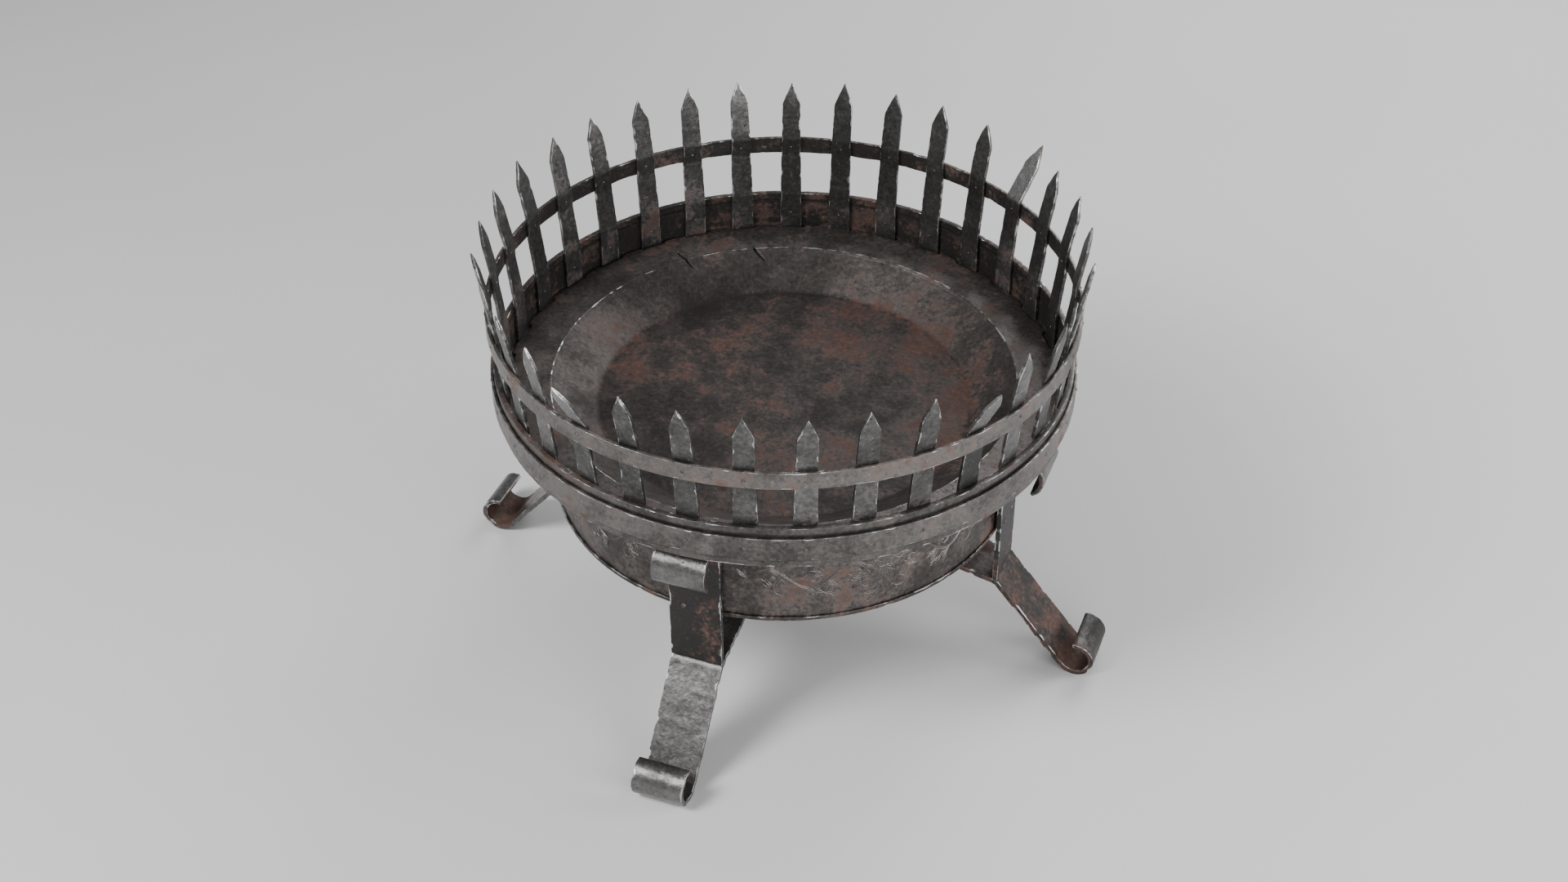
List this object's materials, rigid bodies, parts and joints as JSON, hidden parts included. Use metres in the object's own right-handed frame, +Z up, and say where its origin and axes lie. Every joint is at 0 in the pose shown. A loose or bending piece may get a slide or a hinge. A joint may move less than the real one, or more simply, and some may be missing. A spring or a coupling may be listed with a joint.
{
  "type": "coal forge",
  "caption": "Open round coal forge: a dished fire pan inside a picket-fence rim, on a shallow drum carried by strap legs with scrolled ends.",
  "frame": {"origin": "on the floor under the middle of the drum", "axes": "+Z up; the four legs lie along +X, +Y, -X and -Y"},
  "size_m": [0.9582, 0.9582, 0.6198],
  "materials": {
    "rim_iron": "forged, rusted brown",
    "hoop_iron": "forged, worn grey",
    "drum_iron": "rolled sheet, rusted, engraved scrollwork",
    "pan_iron": "pressed sheet, burnt and rusted",
    "picket_iron": "forged flat bar, worn edges",
    "leg_iron": "forged strap, worn edges",
    "rivet_iron": "forged, worn bright"
  },
  "bodies": {
    "frame": {"base_band": "rim_iron", "riveted_hoop": "hoop_iron", "fence_hoop": "hoop_iron", "shelf_ring": "rim_iron", "drum_wall": "drum_iron", "drum_flange": "drum_iron", "drum_bead": "drum_iron", "drum_floor": "drum_iron", "band_rivets": "rivet_iron", "fence_rivets": "rivet_iron", "leg_rivets": "rivet_iron", "brace_rivets": "rivet_iron", "shelf_rivets": "rivet_iron", "picket_01": "picket_iron", "picket_02": "picket_iron", "picket_03": "picket_iron", "picket_04": "picket_iron", "picket_05": "picket_iron", "picket_06": "picket_iron", "picket_07": "picket_iron", "picket_08": "picket_iron", "picket_09": "picket_iron", "picket_10": "picket_iron", "picket_11": "picket_iron", "picket_12": "picket_iron", "picket_13": "picket_iron", "picket_14": "picket_iron", "picket_15": "picket_iron", "picket_16": "picket_iron", "picket_17": "picket_iron", "picket_18": "picket_iron", "picket_19": "picket_iron", "picket_20": "picket_iron", "picket_21": "picket_iron", "picket_22": "picket_iron", "picket_23": "picket_iron", "picket_24": "picket_iron", "picket_25": "picket_iron", "picket_26": "picket_iron", "picket_27": "picket_iron", "picket_28": "picket_iron", "picket_29": "picket_iron", "picket_30": "picket_iron", "picket_31": "picket_iron", "picket_32": "picket_iron", "picket_33": "picket_iron", "upright_1": "leg_iron", "upright_2": "leg_iron", "upright_3": "leg_iron", "upright_4": "leg_iron", "foot_strap_1": "leg_iron", "foot_strap_2": "leg_iron", "foot_strap_3": "leg_iron", "foot_strap_4": "leg_iron"},
    "pan": {"fire_pan": "pan_iron"}
  },
  "joints": [
    {"name": "pan_lift", "type": "slide", "parent": "frame", "child": "pan", "axis": [0, 0, 1], "range_m": [0, 0.4]}
  ]
}
